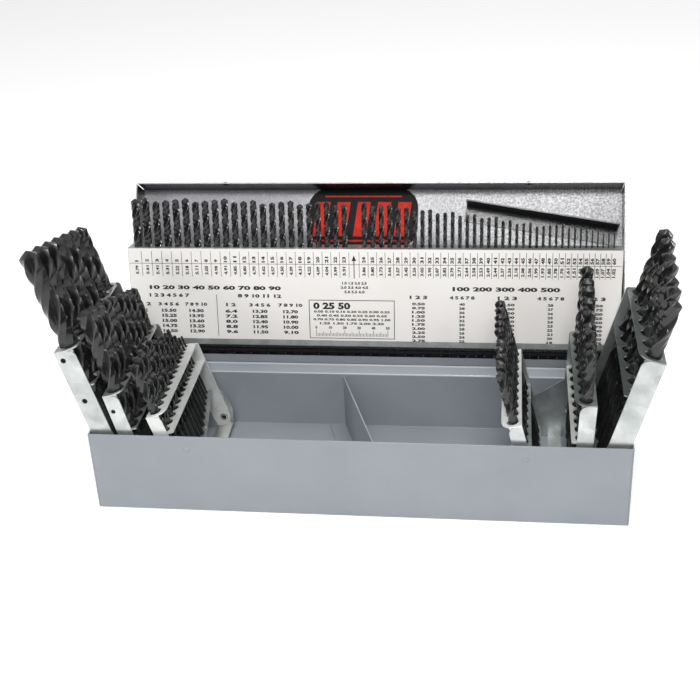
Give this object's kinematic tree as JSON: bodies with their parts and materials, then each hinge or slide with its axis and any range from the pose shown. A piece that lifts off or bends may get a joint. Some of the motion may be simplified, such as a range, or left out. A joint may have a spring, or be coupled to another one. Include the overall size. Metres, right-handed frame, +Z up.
{
  "type": "drill bit case with tilting racks",
  "caption": "Sheet steel drill bit case with a hinged lid, stepped tilting racks on both sides, a swing-out wire gauge bit panel in the lid and a divided tray.",
  "frame": {"origin": "centre of the base tray's underside", "axes": "+X to the right along the length, +Y to the back where the lid is hinged, +Z up"},
  "size_m": [0.3969, 0.192, 0.1799],
  "materials": {
    "base_paint": "satin grey baked enamel with fine orange peel",
    "lid_paint": "gloss black baked enamel with fine orange peel",
    "galvanised": "bright zinc coated sheet, lightly rolled grain",
    "hinge_steel": "plain steel, slightly dull",
    "rivet_steel": "bright plated",
    "bit_steel": "black oxide, polished lands",
    "card": "printed satin white label"
  },
  "bodies": {
    "base": {"base_tray": "base_paint", "divider": "base_paint", "bracket_left_front": "galvanised", "bracket_left_back": "galvanised", "bracket_right_front": "galvanised", "bracket_right_back": "galvanised", "pivot_rivets_left": "rivet_steel", "pivot_rivets_right": "rivet_steel", "hinge_base_leaf": "hinge_steel", "hinge_pin": "hinge_steel"},
    "lid": {"lid_shell": "lid_paint", "hinge_lid_leaf": "hinge_steel", "stop_rail": "lid_paint", "gauge_rivets": "rivet_steel"},
    "panel": {"gauge_panel": "galvanised", "gauge_mid_plate": "galvanised", "gauge_rest": "galvanised", "gauge_end_left": "galvanised", "gauge_end_right": "galvanised", "label_card": "card", "gauge_bits": "bit_steel"},
    "rack_left_outer": {"left_outer_top_plate": "galvanised", "left_outer_mid_plate": "galvanised", "left_outer_rest": "galvanised", "left_outer_end_front": "galvanised", "left_outer_end_back": "galvanised", "left_outer_bits": "bit_steel"},
    "rack_left_middle": {"left_middle_top_plate": "galvanised", "left_middle_mid_plate": "galvanised", "left_middle_rest": "galvanised", "left_middle_end_front": "galvanised", "left_middle_end_back": "galvanised", "left_middle_bits": "bit_steel"},
    "rack_left_inner": {"left_inner_top_plate": "galvanised", "left_inner_mid_plate": "galvanised", "left_inner_rest": "galvanised", "left_inner_end_front": "galvanised", "left_inner_end_back": "galvanised", "left_inner_bits": "bit_steel"},
    "rack_right_outer": {"right_outer_top_plate": "galvanised", "right_outer_mid_plate": "galvanised", "right_outer_rest": "galvanised", "right_outer_end_front": "galvanised", "right_outer_end_back": "galvanised", "right_outer_bits": "bit_steel"},
    "rack_right_middle": {"right_middle_top_plate": "galvanised", "right_middle_mid_plate": "galvanised", "right_middle_rest": "galvanised", "right_middle_end_front": "galvanised", "right_middle_end_back": "galvanised", "right_middle_bits": "bit_steel"},
    "rack_right_inner": {"right_inner_top_plate": "galvanised", "right_inner_mid_plate": "galvanised", "right_inner_rest": "galvanised", "right_inner_end_front": "galvanised", "right_inner_end_back": "galvanised", "right_inner_bits": "bit_steel"}
  },
  "joints": [
    {"name": "lid_hinge", "type": "hinge", "parent": "base", "child": "lid", "pos_m": [0, 0.05868, 0.05715], "axis": [-1, 0, 0], "range_deg": [-16, 54]},
    {"name": "gauge_hinge", "type": "hinge", "parent": "lid", "child": "panel", "pos_m": [0, 0.06528, 0.06047], "axis": [-1, 0, 0], "range_deg": [0, 25]},
    {"name": "left_outer_pivot", "type": "hinge", "parent": "base", "child": "rack_left_outer", "pos_m": [-0.15267, 0, 0.0374], "axis": [0, 1, 0], "range_deg": [0, 105.5]},
    {"name": "left_middle_pivot", "type": "hinge", "parent": "base", "child": "rack_left_middle", "pos_m": [-0.13597, 0, 0.0242], "axis": [0, 1, 0], "range_deg": [0, 103.5]},
    {"name": "left_inner_pivot", "type": "hinge", "parent": "base", "child": "rack_left_inner", "pos_m": [-0.10627, 0, 0.011], "axis": [0, 1, 0], "range_deg": [0, 107]},
    {"name": "right_outer_pivot", "type": "hinge", "parent": "base", "child": "rack_right_outer", "pos_m": [0.15267, 0, 0.0374], "axis": [0, -1, 0], "range_deg": [0, 105.5]},
    {"name": "right_middle_pivot", "type": "hinge", "parent": "base", "child": "rack_right_middle", "pos_m": [0.13737, 0, 0.0242], "axis": [0, -1, 0], "range_deg": [0, 92.3]},
    {"name": "right_inner_pivot", "type": "hinge", "parent": "base", "child": "rack_right_inner", "pos_m": [0.11077, 0, 0.011], "axis": [0, -1, 0], "range_deg": [0, 75.5]}
  ],
  "couplings": [
    {"joint": "left_middle_pivot", "follows": "left_outer_pivot", "ratio": 0.98104},
    {"joint": "left_inner_pivot", "follows": "left_outer_pivot", "ratio": 1.0142},
    {"joint": "right_middle_pivot", "follows": "right_outer_pivot", "ratio": 0.87488},
    {"joint": "right_inner_pivot", "follows": "right_outer_pivot", "ratio": 0.71564}
  ]
}
